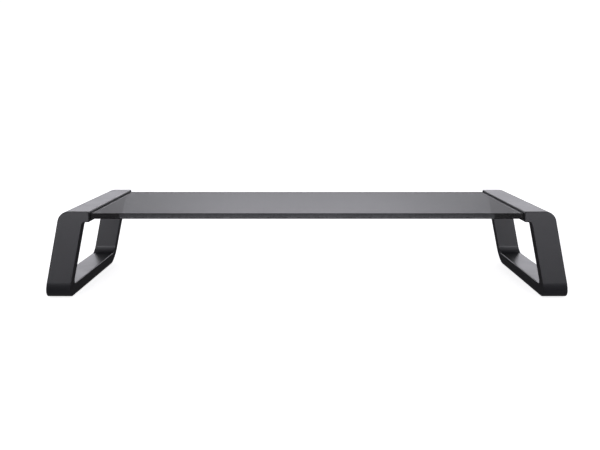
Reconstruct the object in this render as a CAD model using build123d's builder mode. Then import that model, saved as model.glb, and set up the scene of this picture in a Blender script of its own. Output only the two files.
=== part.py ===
from build123d import *
import os

# Monitor riser stand: a smoked tempered-glass shelf between two closed-loop
# legs that lean outwards towards the desk. +Z is up, the front faces -Y, and
# the origin is on the desk under the middle of the shelf. Millimetres.

# ------------------------------------------------------------------ dimensions
overall_width = 560.0  # across the two legs, over their feet
leg_depth = 209.0  # front face to rear face of a leg
leg_height = 94.8  # height of a leg casting
pad_stand_off = 0.6  # the rubber pads hold the castings this far off the desk
lean = 0.2175  # outward lean of a leg, dX per dZ (12.3 degrees)
limb_width = 26.5  # width of each limb of the loop, along X
upright_thickness = 12.2  # front and rear limbs, along Y
foot_thickness = 14.3  # bottom limb, along Z
head_height = 11.5  # top limb, along Z
head_reach = 228.6  # X of the head's inner face
crown_radius = 12.5  # outer top corner, seen from the front
web_radius = 4.0  # corner between head and upright, seen from the front
heel_radius = 18.0  # outer bottom corners, seen from the side
window_radius = 8.0  # lower inner corners of the loop, seen from the side
edge_radius = 1.0  # softened edges all round

glass_width = 480.0
glass_depth = 200.0
glass_thickness = 6.0
glass_corner = 3.0
glass_arris = 0.5  # polished chamfer along every edge of the glass

lip_thickness = 2.0  # metal over the glass
gasket_wall = 0.5
slot_end = 240.9  # X of the slot's blind end
slot_length = 201.0  # along Y, blind at both ends
gasket_start = 229.2  # X where the gasket begins, just inside the head

plate_thickness = 2.5
plate_end = 257.0  # X of the clamp plate's outer edge
plate_length = 172.0  # along Y
plate_corner = 2.0
plate_gap = 0.3  # around the plate, in its recess

screw_x = 249.6
screw_pitch = 46.0
screw_count = 4
screw_radius = 1.5  # M3
screw_clearance = 1.7  # hole radius in the plate
screw_length = 8.0
screw_head_radius = 2.8
sink_radius = 3.02
thread_clearance = 0.03
socket_across_flats = 2.0
socket_depth = 1.2
tapped_depth = 6.6

pad_length = 46.0
pad_width = 15.0
pad_recess = 1.0
pad_spacing = 58.0  # pad centre from the middle of the leg, along Y
pad_gap = 0.25  # around each pad, in its recess
pad_edge = 0.3

# ------------------------------------------------------------- derived heights
leg_bottom = pad_stand_off
leg_top = leg_bottom + leg_height
head_underside = leg_top - head_height
foot_top = leg_bottom + foot_thickness
slot_top = leg_top - lip_thickness
glass_top_z = slot_top - gasket_wall
glass_bottom_z = glass_top_z - glass_thickness
slot_floor = glass_bottom_z - gasket_wall
# The softened outer corner of a foot stands this far inside its sharp corner.
corner_loss = edge_radius * (lean + (1 + lean**2) ** 0.5 - 1)
half_width = overall_width / 2 + corner_loss
half_depth = leg_depth / 2
pad_x = half_width - limb_width / 2


def outer_x(z):
    """X of the outer leaning face at height z."""
    return half_width - lean * (z - leg_bottom)


def inner_x(z):
    """X of the inner leaning face at height z."""
    return outer_x(z) - limb_width


def crisp(edge, faces):
    """True where the two faces that meet at an edge make a real corner."""
    sides = [face for face in faces if edge in face.edges()]
    if len(sides) != 2:
        return False
    middle = edge.position_at(0.5)
    return sides[0].normal_at(middle).get_angle(sides[1].normal_at(middle)) > 8


# ------------------------------------------------------------------- leg frame
# One casting: a closed loop whose top limb reaches inwards as the head that
# grips the glass.
with BuildPart() as right_leg_frame:
    # Front outline: a leaning limb under an overhanging head.
    with BuildSketch(Plane.XZ) as front_outline:
        with BuildLine():
            Polyline(
                (outer_x(leg_bottom), leg_bottom),
                (outer_x(leg_top), leg_top),
                (head_reach, leg_top),
                (head_reach, head_underside),
                (inner_x(head_underside), head_underside),
                (inner_x(leg_bottom), leg_bottom),
                close=True,
            )
        make_face()
        crown = front_outline.vertices().sort_by_distance((outer_x(leg_top), leg_top))[0]
        fillet(crown, radius=crown_radius)
        web = front_outline.vertices().sort_by_distance(
            (inner_x(head_underside), head_underside)
        )[0]
        fillet(web, radius=web_radius)
    extrude(amount=half_depth, both=True)

    # Side outline: rounded heels at the front and the rear.
    with BuildSketch(Plane.YZ.offset(head_reach - 5)) as side_outline:
        with Locations((0, leg_bottom + leg_height / 2)):
            Rectangle(leg_depth, leg_height)
        fillet(side_outline.vertices().group_by(Axis.Y)[0], radius=heel_radius)
    extrude(amount=half_width - head_reach + 10, mode=Mode.INTERSECT)

    # The loop's window.
    with BuildSketch(Plane.YZ.offset(head_reach - 5)) as window:
        with Locations((0, (foot_top + head_underside) / 2)):
            Rectangle(leg_depth - 2 * upright_thickness, head_underside - foot_top)
        fillet(window.vertices().group_by(Axis.Y)[0], radius=window_radius)
    extrude(amount=half_width - head_reach + 10, mode=Mode.SUBTRACT)

    # Every real corner of the casting is softened.
    casting_faces = right_leg_frame.faces()
    fillet(
        right_leg_frame.edges().filter_by(lambda e: crisp(e, casting_faces)),
        radius=edge_radius,
    )

    # Slot for the glass, open towards the middle and blind at both ends.
    with BuildSketch(Plane.XY.offset(slot_floor)) as glass_slot:
        with Locations(((head_reach - 4 + slot_end) / 2, 0)):
            Rectangle(slot_end - head_reach + 4, slot_length)
    extrude(amount=slot_top - slot_floor, mode=Mode.SUBTRACT)

    # Recess under the slot for the clamp plate.
    with BuildSketch(Plane.XY.offset(head_underside - 1)) as plate_recess:
        with Locations(((head_reach - 4 + plate_end + plate_gap) / 2, 0)):
            Rectangle(
                plate_end + plate_gap - head_reach + 4, plate_length + 2 * plate_gap
            )
        fillet(
            plate_recess.vertices().group_by(Axis.X)[-1],
            radius=plate_corner + plate_gap,
        )
    extrude(amount=slot_floor - head_underside + 1, mode=Mode.SUBTRACT)

    # Tapped holes for the clamp screws, blind in the solid part of the head.
    with BuildSketch(Plane.XY.offset(slot_floor - 0.1)) as tapped_holes:
        with Locations((screw_x, 0)):
            with GridLocations(0, screw_pitch, 1, screw_count):
                Circle(screw_radius)
    extrude(amount=tapped_depth + 0.1, mode=Mode.SUBTRACT)

    # Shallow recesses for the rubber pads.
    with BuildSketch(Plane.XY.offset(leg_bottom - 1)) as pad_recesses:
        with Locations((pad_x, 0)):
            with GridLocations(0, 2 * pad_spacing, 1, 2):
                SlotOverall(
                    pad_length + 2 * pad_gap, pad_width + 2 * pad_gap, rotation=90
                )
    extrude(amount=pad_recess + 1, mode=Mode.SUBTRACT)

right_leg_frame.part.label = "right_leg_frame"

with BuildPart() as left_leg_frame:
    mirror(right_leg_frame.part, about=Plane.YZ)

left_leg_frame.part.label = "left_leg_frame"

# ----------------------------------------------------------------- glass shelf
with BuildPart() as glass_plate:
    with BuildSketch(Plane.XY.offset(glass_bottom_z)) as glass_outline:
        RectangleRounded(glass_width, glass_depth, glass_corner)
    extrude(amount=glass_thickness)
    glass_rims = (
        glass_plate.faces().sort_by(Axis.Z)[0].edges()
        + glass_plate.faces().sort_by(Axis.Z)[-1].edges()
    )
    chamfer(glass_rims, length=glass_arris)

# The plate in three stretches: the open span, and the two ends in the heads.
with BuildPart() as open_span:
    add(glass_plate.part)
    split(bisect_by=Plane.YZ.offset(head_reach), keep=Keep.BOTTOM)
    split(bisect_by=Plane.YZ.offset(-head_reach), keep=Keep.TOP)

with BuildPart() as right_end:
    add(glass_plate.part)
    split(bisect_by=Plane.YZ.offset(head_reach), keep=Keep.TOP)

with BuildPart() as left_end:
    add(glass_plate.part)
    split(bisect_by=Plane.YZ.offset(-head_reach), keep=Keep.BOTTOM)

# One solid again, closed over the outsides of the three stretches. The open
# span keeps a top face of its own, the surface that a monitor stands on.
glass_skin = Shell(
    [
        face
        for stretch in (open_span, right_end, left_end)
        for face in stretch.faces()
        if abs(abs(face.center().X) - head_reach) > 0.01
    ]
)
with BuildPart() as glass_shelf:
    add(Solid(glass_skin), clean=False)

glass_shelf.part.label = "glass_shelf"

# --------------------------------------------------------------- glass gaskets
# A U-section rubber profile pushed on each end of the glass.
with BuildPart() as right_glass_gasket:
    with BuildSketch(Plane.XZ) as gasket_section:
        with BuildLine():
            Polyline(
                (gasket_start, slot_floor),
                (slot_end, slot_floor),
                (slot_end, slot_top),
                (gasket_start, slot_top),
                (gasket_start, glass_top_z),
                (glass_width / 2 + 0.1, glass_top_z),
                (glass_width / 2 + 0.1, glass_bottom_z),
                (gasket_start, glass_bottom_z),
                close=True,
            )
        make_face()
    extrude(amount=glass_depth / 2, both=True)

right_glass_gasket.part.label = "right_glass_gasket"

with BuildPart() as left_glass_gasket:
    mirror(right_glass_gasket.part, about=Plane.YZ)

left_glass_gasket.part.label = "left_glass_gasket"

# ---------------------------------------------------------------- clamp plates
# A steel plate in the underside of each head presses the glass up against the
# lip. It lies flush with the head's underside.
with BuildPart() as right_clamp_plate:
    with BuildSketch(Plane.XY.offset(head_underside)) as plate_outline:
        with Locations(((head_reach + plate_gap + plate_end) / 2, 0)):
            Rectangle(plate_end - head_reach - plate_gap, plate_length)
        fillet(plate_outline.vertices().group_by(Axis.X)[-1], radius=plate_corner)
        fillet(plate_outline.vertices().group_by(Axis.X)[0], radius=0.5)
    extrude(amount=plate_thickness)
    chamfer(right_clamp_plate.faces().sort_by(Axis.Z)[0].edges(), length=0.3)
    with Locations(Plane.XY.offset(head_underside)):
        with Locations(Location((screw_x, 0, 0), (180, 0, 0))):
            with GridLocations(0, screw_pitch, 1, screw_count):
                CounterSinkHole(
                    radius=screw_clearance,
                    counter_sink_radius=sink_radius,
                    depth=plate_thickness,
                    counter_sink_angle=90,
                )

right_clamp_plate.part.label = "right_clamp_plate"

with BuildPart() as left_clamp_plate:
    mirror(right_clamp_plate.part, about=Plane.YZ)

left_clamp_plate.part.label = "left_clamp_plate"

# ---------------------------------------------------------------- clamp screws
# Countersunk M3 screws with hexagon sockets, their heads flush with the plate.
with BuildPart() as clamp_screw:
    shank_radius = screw_radius - thread_clearance
    head_rim = 0.1
    with BuildSketch(Plane.XZ) as screw_section:
        with BuildLine():
            Polyline(
                (0, 0),
                (screw_head_radius, 0),
                (screw_head_radius, head_rim),
                (shank_radius, head_rim + screw_head_radius - shank_radius),
                (shank_radius, screw_length - 0.4),
                (shank_radius - 0.4, screw_length),
                (0, screw_length),
                close=True,
            )
        make_face()
    revolve(axis=Axis.Z)
    with BuildSketch(Plane.XY) as hex_socket:
        RegularPolygon(socket_across_flats / 2, 6, major_radius=False)
    extrude(amount=socket_depth, mode=Mode.SUBTRACT)

with BuildPart() as right_clamp_screws:
    with Locations((screw_x, 0, head_underside + 0.1)):
        with GridLocations(0, screw_pitch, 1, screw_count):
            add(clamp_screw.part)

right_clamp_screws.part.label = "right_clamp_screws"

with BuildPart() as left_clamp_screws:
    mirror(right_clamp_screws.part, about=Plane.YZ)

left_clamp_screws.part.label = "left_clamp_screws"

# ------------------------------------------------------------------- foot pads
# Four oblong rubber pads, let into the bottom limbs.
with BuildPart() as right_front_foot_pad:
    with BuildSketch(Plane.XY) as pad_outline:
        with Locations((pad_x, -pad_spacing)):
            SlotOverall(pad_length, pad_width, rotation=90)
    extrude(amount=pad_stand_off + pad_recess)
    chamfer(right_front_foot_pad.faces().sort_by(Axis.Z)[0].edges(), length=pad_edge)

right_front_foot_pad.part.label = "right_front_foot_pad"

with BuildPart() as right_rear_foot_pad:
    mirror(right_front_foot_pad.part, about=Plane.XZ)

right_rear_foot_pad.part.label = "right_rear_foot_pad"

with BuildPart() as left_front_foot_pad:
    mirror(right_front_foot_pad.part, about=Plane.YZ)

left_front_foot_pad.part.label = "left_front_foot_pad"

with BuildPart() as left_rear_foot_pad:
    mirror(right_rear_foot_pad.part, about=Plane.YZ)

left_rear_foot_pad.part.label = "left_rear_foot_pad"

# ---------------------------------------------------------------------- export
os.makedirs("parts", exist_ok=True)
export_step(glass_shelf.part, "parts/glass_shelf.step")
export_step(right_leg_frame.part, "parts/right_leg_frame.step")
export_step(left_leg_frame.part, "parts/left_leg_frame.step")
export_step(right_glass_gasket.part, "parts/right_glass_gasket.step")
export_step(left_glass_gasket.part, "parts/left_glass_gasket.step")
export_step(right_clamp_plate.part, "parts/right_clamp_plate.step")
export_step(left_clamp_plate.part, "parts/left_clamp_plate.step")
export_step(right_clamp_screws.part, "parts/right_clamp_screws.step")
export_step(left_clamp_screws.part, "parts/left_clamp_screws.step")
export_step(right_front_foot_pad.part, "parts/right_front_foot_pad.step")
export_step(right_rear_foot_pad.part, "parts/right_rear_foot_pad.step")
export_step(left_front_foot_pad.part, "parts/left_front_foot_pad.step")
export_step(left_rear_foot_pad.part, "parts/left_rear_foot_pad.step")

for piece in (
    glass_shelf,
    right_leg_frame,
    right_glass_gasket,
    right_clamp_plate,
    right_clamp_screws,
    right_front_foot_pad,
):
    print(piece.part.label, len(piece.part.solids()), round(piece.part.volume, 1))
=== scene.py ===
import math

import bpy
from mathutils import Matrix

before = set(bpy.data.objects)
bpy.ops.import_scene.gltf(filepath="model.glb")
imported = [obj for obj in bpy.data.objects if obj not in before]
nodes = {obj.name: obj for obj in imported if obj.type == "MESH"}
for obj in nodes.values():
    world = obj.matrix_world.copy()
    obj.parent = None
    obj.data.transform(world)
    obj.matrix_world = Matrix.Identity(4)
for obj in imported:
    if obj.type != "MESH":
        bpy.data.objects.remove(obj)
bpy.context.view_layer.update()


# ---------------------------------------------------------------- node helpers
def new_material(name):
    mat = bpy.data.materials.new(name)
    mat.use_nodes = True
    tree = mat.node_tree
    tree.nodes.clear()
    out = tree.nodes.new("ShaderNodeOutputMaterial")
    out.location = (900, 0)
    return mat, tree, out


def principled(tree, **constants):
    node = tree.nodes.new("ShaderNodeBsdfPrincipled")
    node.location = (600, 0)
    for key, value in constants.items():
        node.inputs[key.replace("_", " ")].default_value = value
    return node


def object_coords(tree):
    node = tree.nodes.new("ShaderNodeTexCoord")
    node.location = (-1200, 0)
    return node.outputs["Object"]


def noise(tree, vector, scale, detail=2.0, roughness=0.5, distortion=0.0):
    node = tree.nodes.new("ShaderNodeTexNoise")
    node.inputs["Scale"].default_value = scale
    node.inputs["Detail"].default_value = detail
    node.inputs["Roughness"].default_value = roughness
    node.inputs["Distortion"].default_value = distortion
    tree.links.new(vector, node.inputs["Vector"])
    return node.outputs["Fac"]


def ramp(tree, value, low, high, out_low, out_high):
    node = tree.nodes.new("ShaderNodeMapRange")
    node.interpolation_type = "SMOOTHSTEP"
    node.inputs["From Min"].default_value = low
    node.inputs["From Max"].default_value = high
    node.inputs["To Min"].default_value = out_low
    node.inputs["To Max"].default_value = out_high
    tree.links.new(value, node.inputs["Value"])
    return node.outputs["Result"]


def mix_colour(tree, factor, a, b):
    node = tree.nodes.new("ShaderNodeMix")
    node.data_type = "RGBA"
    node.inputs["A"].default_value = (*a, 1)
    node.inputs["B"].default_value = (*b, 1)
    tree.links.new(factor, node.inputs["Factor"])
    return node.outputs["Result"]


def math_node(tree, operation, a, b=None):
    node = tree.nodes.new("ShaderNodeMath")
    node.operation = operation
    for i, v in enumerate((a, b)):
        if v is None:
            continue
        if isinstance(v, (int, float)):
            node.inputs[i].default_value = v
        else:
            tree.links.new(v, node.inputs[i])
    return node.outputs[0]


def bump(tree, height, distance, strength=1.0, normal=None):
    node = tree.nodes.new("ShaderNodeBump")
    node.inputs["Strength"].default_value = strength
    node.inputs["Distance"].default_value = distance
    tree.links.new(height, node.inputs["Height"])
    if normal is not None:
        tree.links.new(normal, node.inputs["Normal"])
    return node.outputs["Normal"]


# ------------------------------------------------------------------- materials
def powder_coat(name, dark, light, rough_low, rough_high, texture=3000.0, depth=3e-6):
    """Satin black powder coat: fine pebbled skin, faint cloudiness in the gloss."""
    mat, tree, out = new_material(name)
    where = object_coords(tree)
    shader = principled(tree, IOR=1.5)
    pebble = noise(tree, where, texture, detail=2.0, roughness=0.55)
    cloud = noise(tree, where, 28.0, detail=3.0, roughness=0.6)
    speck = noise(tree, where, 900.0, detail=1.0)
    tone = math_node(tree, "ADD", math_node(tree, "MULTIPLY", cloud, 0.6), math_node(tree, "MULTIPLY", speck, 0.4))
    tree.links.new(mix_colour(tree, ramp(tree, tone, 0.35, 0.65, 0, 1), dark, light), shader.inputs["Base Color"])
    tree.links.new(ramp(tree, cloud, 0.3, 0.7, rough_low, rough_high), shader.inputs["Roughness"])
    tree.links.new(bump(tree, pebble, depth), shader.inputs["Normal"])
    tree.links.new(shader.outputs["BSDF"], out.inputs["Surface"])
    return mat


def smoked_glass(name):
    """Smoked tempered glass: polished faces and edges, the tint taken at the surfaces."""
    mat, tree, out = new_material(name)
    where = object_coords(tree)
    shader = principled(tree, IOR=1.5, Transmission_Weight=1.0)
    geometry = tree.nodes.new("ShaderNodeNewGeometry")
    split = tree.nodes.new("ShaderNodeSeparateXYZ")
    tree.links.new(geometry.outputs["True Normal"], split.inputs[0])
    flat = math_node(tree, "ABSOLUTE", split.outputs["Z"])
    edge = ramp(tree, flat, 0.5, 0.9, 1.0, 0.0)
    haze = noise(tree, where, 9.0, detail=4.0, roughness=0.6)
    tree.links.new(mix_colour(tree, ramp(tree, haze, 0.3, 0.7, 0, 1), (0.080, 0.082, 0.086), (0.088, 0.090, 0.094)), shader.inputs["Base Color"])
    face_rough = ramp(tree, haze, 0.35, 0.7, 0.008, 0.03)
    grind = noise(tree, where, 2500.0, detail=2.0)
    edge_rough = math_node(tree, "MULTIPLY", edge, ramp(tree, grind, 0.3, 0.7, 0.05, 0.09))
    tree.links.new(math_node(tree, "ADD", face_rough, edge_rough), shader.inputs["Roughness"])
    wave = noise(tree, where, 7.0, detail=1.0)
    tree.links.new(bump(tree, wave, 2e-5, 0.3), shader.inputs["Normal"])
    tree.links.new(shader.outputs["BSDF"], out.inputs["Surface"])
    return mat


def rubber(name, dark, light, texture, depth):
    """Matt black rubber with a fine grain."""
    mat, tree, out = new_material(name)
    where = object_coords(tree)
    shader = principled(tree, IOR=1.5)
    grain = noise(tree, where, texture, detail=3.0, roughness=0.6)
    dust = noise(tree, where, 120.0, detail=4.0, roughness=0.7)
    tree.links.new(mix_colour(tree, ramp(tree, dust, 0.4, 0.75, 0, 1), dark, light), shader.inputs["Base Color"])
    tree.links.new(ramp(tree, dust, 0.3, 0.7, 0.62, 0.8), shader.inputs["Roughness"])
    tree.links.new(bump(tree, grain, depth), shader.inputs["Normal"])
    tree.links.new(shader.outputs["BSDF"], out.inputs["Surface"])
    return mat


def oxide_steel(name):
    """Black-oxide steel with fine turning marks."""
    mat, tree, out = new_material(name)
    where = object_coords(tree)
    shader = principled(tree, Metallic=1.0)
    blotch = noise(tree, where, 700.0, detail=3.0)
    marks = noise(tree, where, 6000.0, detail=2.0)
    tree.links.new(mix_colour(tree, ramp(tree, blotch, 0.35, 0.7, 0, 1), (0.05, 0.05, 0.055), (0.12, 0.12, 0.13)), shader.inputs["Base Color"])
    tree.links.new(ramp(tree, marks, 0.3, 0.7, 0.26, 0.42), shader.inputs["Roughness"])
    tree.links.new(bump(tree, marks, 4e-6), shader.inputs["Normal"])
    tree.links.new(shader.outputs["BSDF"], out.inputs["Surface"])
    return mat


leg_coat = powder_coat("leg_powder_coat", (0.0115, 0.0115, 0.0133), (0.0155, 0.0155, 0.0175), 0.33, 0.37)
plate_coat = powder_coat("plate_powder_coat", (0.018, 0.018, 0.02), (0.026, 0.026, 0.028), 0.42, 0.52, 2400.0, 5e-6)
glass = smoked_glass("smoked_glass")
gasket_rubber = rubber("gasket_rubber", (0.009, 0.009, 0.01), (0.016, 0.016, 0.017), 4000.0, 4e-6)
pad_rubber = rubber("pad_rubber", (0.012, 0.012, 0.013), (0.03, 0.03, 0.03), 1500.0, 3e-5)
screw_steel = oxide_steel("screw_black_oxide")

finishes = {
    "glass_shelf": glass,
    "leg_frame": leg_coat,
    "glass_gasket": gasket_rubber,
    "clamp_plate": plate_coat,
    "clamp_screws": screw_steel,
    "foot_pad": pad_rubber,
}
for name, obj in nodes.items():
    for ending, mat in finishes.items():
        if name.endswith(ending):
            obj.data.materials.clear()
            obj.data.materials.append(mat)


# ----------------------------------------------------------------------- stage
def plane(name, half):
    mesh = bpy.data.meshes.new(name)
    mesh.from_pydata(
        [(-half, -half, 0), (half, -half, 0), (half, half, 0), (-half, half, 0)], [], [(0, 1, 2, 3)]
    )
    obj = bpy.data.objects.new(name, mesh)
    bpy.context.scene.collection.objects.link(obj)
    return obj


floor = plane("floor", 30.0)
floor_mat, tree, out = new_material("pale_floor")
diffuse = tree.nodes.new("ShaderNodeBsdfDiffuse")
diffuse.inputs["Color"].default_value = (0.85, 0.85, 0.85, 1)
glow = tree.nodes.new("ShaderNodeEmission")
glow.inputs["Color"].default_value = (1, 1, 1, 1)
glow.inputs["Strength"].default_value = 0.82
both = tree.nodes.new("ShaderNodeAddShader")
tree.links.new(diffuse.outputs[0], both.inputs[0])
tree.links.new(glow.outputs[0], both.inputs[1])
# Clear from beneath, so the underside of the stand can be looked at.
side_seen = tree.nodes.new("ShaderNodeNewGeometry")
clear = tree.nodes.new("ShaderNodeBsdfTransparent")
one_way = tree.nodes.new("ShaderNodeMixShader")
tree.links.new(side_seen.outputs["Backfacing"], one_way.inputs[0])
tree.links.new(both.outputs[0], one_way.inputs[1])
tree.links.new(clear.outputs[0], one_way.inputs[2])
tree.links.new(one_way.outputs[0], out.inputs["Surface"])
floor.data.materials.append(floor_mat)
floor.visible_diffuse = False
floor.visible_glossy = False
floor.visible_shadow = False

# ---------------------------------------------------------------------- lights
# A plain soft studio: an even fill, and a few broad panels with soft edges. Each is
# its azimuth range (0 behind the stand, 180 in front), its elevation range, how soft
# those two pairs of edges are, in degrees, and its radiance.
fill = 0.27
panels = (
    ("backdrop_foot", (-60, 45), (-2.0, 4.5), 12.0, 1.5, 0.50),
    ("backdrop_middle", (-60, 10.0), (7.0, 14.5), 7.0, 4.5, 0.40),
    ("backdrop_top", (-60, 48), (11.2, 20.5), 14.0, 3.5, 3.20),
    ("desk_behind", (-60, 75), (-37.0, -2.0), 12.0, 3.0, -0.23),
    ("front_strip", (140, 300), (-4.2, 10.0), 16.0, 3.5, 4.80),
    ("front_desk", (130, 300), (-37.0, -12.0), 14.0, 4.0, -0.18),
    ("side_panels", (78, 112), (14.0, 50.0), 12.0, 8.0, 0.75),
    ("front_key", (150, 300), (30.0, 52.0), 14.0, 8.0, 1.20),
    ("ground", (-60, 300), (-120.0, -37.0), 5.0, 5.0, -0.18),
)
world = bpy.data.worlds.new("studio")
bpy.context.scene.world = world
world.use_nodes = True
tree = world.node_tree
tree.nodes.clear()
w_out = tree.nodes.new("ShaderNodeOutputWorld")
sky = tree.nodes.new("ShaderNodeBackground")
coords = tree.nodes.new("ShaderNodeTexCoord")
split = tree.nodes.new("ShaderNodeSeparateXYZ")
tree.links.new(coords.outputs["Generated"], split.inputs[0])
to_degrees = 180 / math.pi
elevation = math_node(tree, "MULTIPLY", math_node(tree, "ARCSINE", split.outputs["Z"]), to_degrees)
across = math_node(tree, "ABSOLUTE", split.outputs["X"])
azimuth = math_node(tree, "MULTIPLY", math_node(tree, "ARCTAN2", across, split.outputs["Y"]), to_degrees)


def between(value, low, high, softness):
    """1 inside the range and 0 outside, with soft edges centred on low and high."""
    rise = ramp(tree, value, low - softness, low + softness, 0, 1)
    fall = ramp(tree, value, high - softness, high + softness, 0, 1)
    return math_node(tree, "SUBTRACT", rise, fall)


total = None
for label, sweep, lift, soft_across, soft_up, radiance in panels:
    shape = math_node(
        tree, "MULTIPLY", between(azimuth, *sweep, soft_across), between(elevation, *lift, soft_up)
    )
    lit = math_node(tree, "MULTIPLY", shape, radiance)
    total = math_node(tree, "ADD", lit, fill) if total is None else math_node(tree, "ADD", total, lit)
tree.links.new(total, sky.inputs["Strength"])
sky.inputs["Color"].default_value = (0.985, 0.975, 1.04, 1)
white = tree.nodes.new("ShaderNodeBackground")
white.inputs["Color"].default_value = (1, 1, 1, 1)
white.inputs["Strength"].default_value = 1.05
path = tree.nodes.new("ShaderNodeLightPath")
mixed = tree.nodes.new("ShaderNodeMixShader")
tree.links.new(path.outputs["Is Camera Ray"], mixed.inputs[0])
tree.links.new(sky.outputs[0], mixed.inputs[1])
tree.links.new(white.outputs[0], mixed.inputs[2])
tree.links.new(mixed.outputs[0], w_out.inputs["Surface"])

# ---------------------------------------------------------------------- camera
cam_data = bpy.data.cameras.new("camera")
camera = bpy.data.objects.new("camera", cam_data)
bpy.context.scene.collection.objects.link(camera)
cam_data.sensor_width = 36.0
cam_data.lens = 805.0 / 600.0 * 36.0
cam_data.shift_x = -6.9 / 600.0
cam_data.dof.use_dof = False
cam_data.clip_start, cam_data.clip_end = 0.01, 100.0
camera.location = (0, -0.9387, 0.2115)
camera.rotation_euler = (math.radians(90 - 8.88), 0, 0)
bpy.context.scene.camera = camera
bpy.context.scene.view_settings.view_transform = "Standard"
